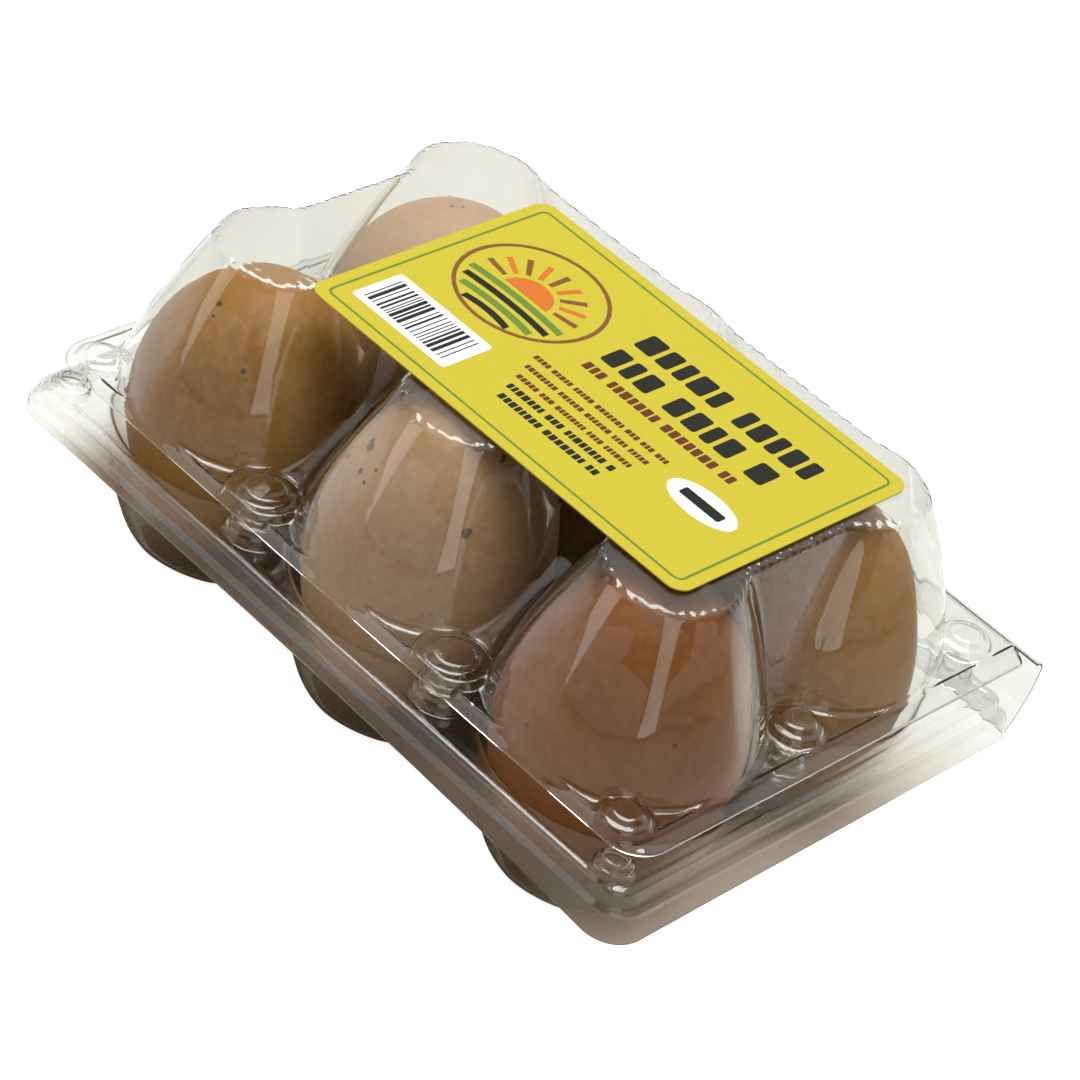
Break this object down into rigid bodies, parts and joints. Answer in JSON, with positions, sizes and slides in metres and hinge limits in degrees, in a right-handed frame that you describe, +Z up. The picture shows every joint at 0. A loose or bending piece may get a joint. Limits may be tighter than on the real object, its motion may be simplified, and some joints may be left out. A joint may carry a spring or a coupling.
{
  "type": "egg carton with eggs",
  "caption": "Clear hinged clamshell pack with cups and matching domes that hold upright hen's eggs, with snap buttons and a printed label on its lid.",
  "frame": {"origin": "middle of the pack's box, on the surface that the cups' feet stand on", "axes": "+X along the pack's long side, -Y towards the opening edge, +Y towards the hinge strip, +Z up"},
  "size_m": [0.1544, 0.1068, 0.0646],
  "materials": {
    "clear_tray": "clear glossy thermoformed PET sheet with a slight grey green tint",
    "clear_lid": "clear glossy thermoformed PET sheet with a slight grey green tint",
    "printed_label": null,
    "shell_tan": "matt eggshell, orange tan with small dark specks",
    "shell_olive_beige": "matt eggshell, olive beige with dark spots",
    "shell_orange_brown": "matt eggshell, deeper orange brown",
    "shell_pink_beige": "matt eggshell, pale pinkish beige",
    "shell_light_brown": "matt eggshell, light brown",
    "shell_brown": "matt eggshell, brown tan"
  },
  "bodies": {
    "base": {"tray": "clear_tray", "egg_front_left": "shell_tan", "egg_front_middle": "shell_olive_beige", "egg_front_right": "shell_orange_brown", "egg_back_left": "shell_pink_beige", "egg_back_middle": "shell_light_brown", "egg_back_right": "shell_brown"},
    "cover": {"lid": "clear_lid", "label": "printed_label"}
  },
  "joints": [
    {"name": "lid_hinge", "type": "hinge", "parent": "base", "child": "cover", "pos_m": [0, 0.05255, 0.0325], "axis": [-1, 0, 0], "range_deg": [0, 180]}
  ]
}
